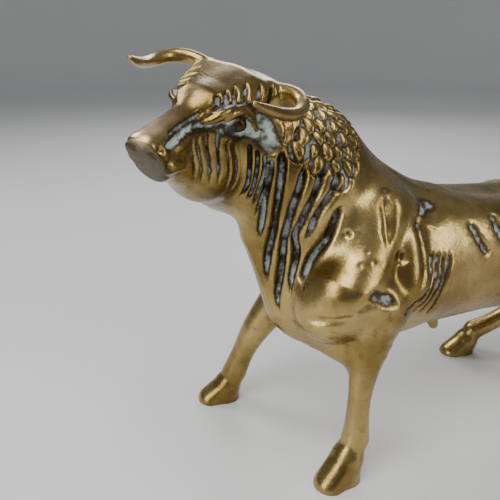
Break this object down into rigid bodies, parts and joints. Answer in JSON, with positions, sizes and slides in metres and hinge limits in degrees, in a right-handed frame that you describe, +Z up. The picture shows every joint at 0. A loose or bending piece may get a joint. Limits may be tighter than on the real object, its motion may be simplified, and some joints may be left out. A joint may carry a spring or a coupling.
{
  "type": "bull sculpture",
  "caption": "Cast brass bull striding on its own four hooves, head turned to its left, with curved horns, a carved mane and grooved cheeks.",
  "frame": {"origin": "middle of the figure's bounding box, at the level of the soles", "axes": "+Z up, -X the way the bull walks, -Y its left side"},
  "size_m": [0.3574, 0.135, 0.246],
  "materials": {
    "bull": "polished cast brass with grey-green tarnish in the recesses"
  },
  "bodies": {
    "root": {"bull": "bull"}
  },
  "joints": []
}
